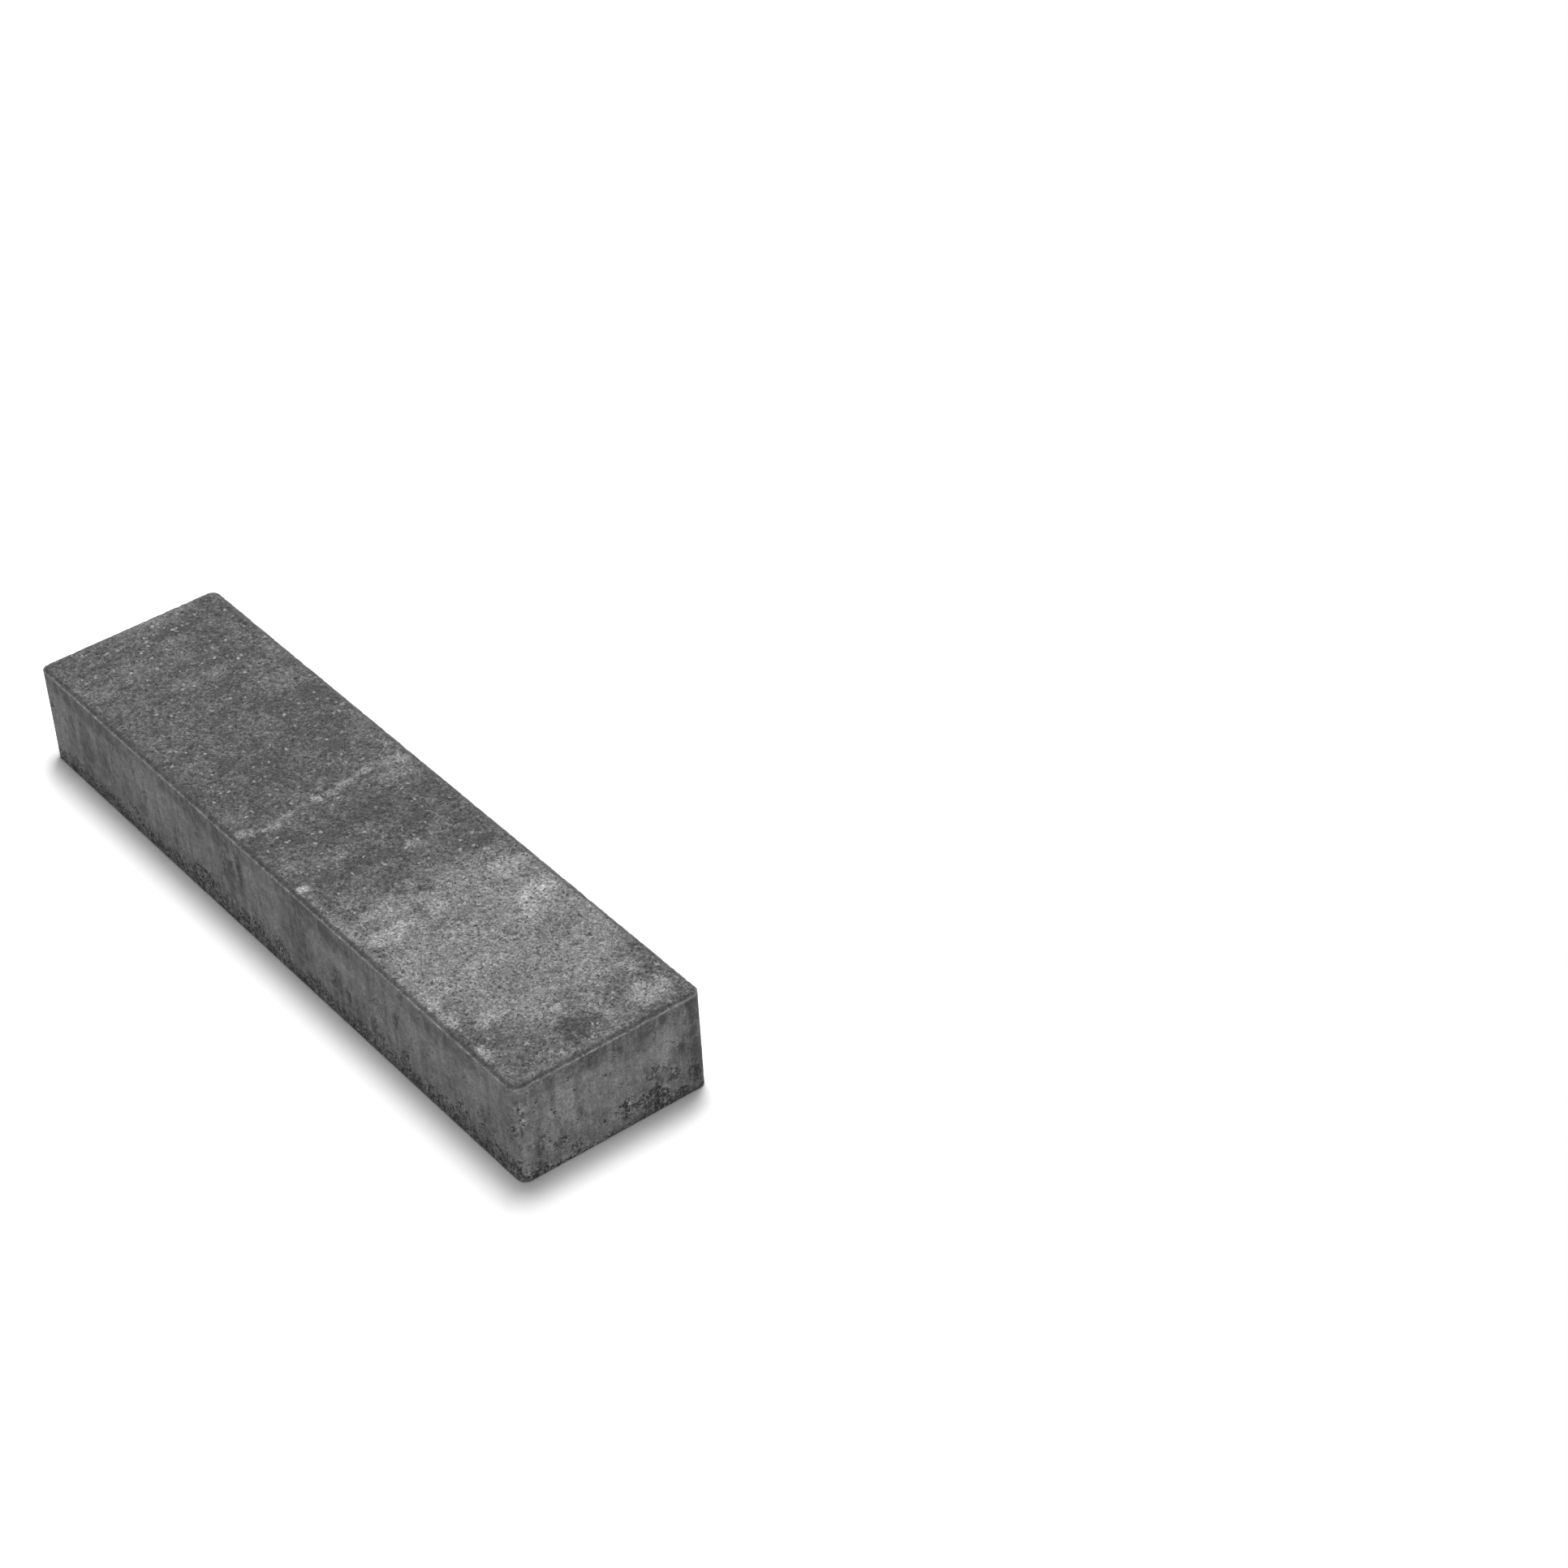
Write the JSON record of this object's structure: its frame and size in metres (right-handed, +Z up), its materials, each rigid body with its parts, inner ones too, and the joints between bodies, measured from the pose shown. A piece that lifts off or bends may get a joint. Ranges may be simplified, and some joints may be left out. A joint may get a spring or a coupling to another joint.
{
  "type": "paving stone",
  "caption": "Long rectangular paving stone of pressed concrete, with a bevelled walking face and plain upright sides, for laying in sand in paths, drives and yards.",
  "frame": {"origin": "centre of the bed face, the underside that lies on the sand", "axes": "+X along the length, +Y across the width, +Z up to the walking face"},
  "size_m": [0.597, 0.147, 0.08],
  "materials": {
    "pressed_concrete": "matte"
  },
  "bodies": {
    "root": {"paving_stone": "pressed_concrete"}
  },
  "joints": []
}
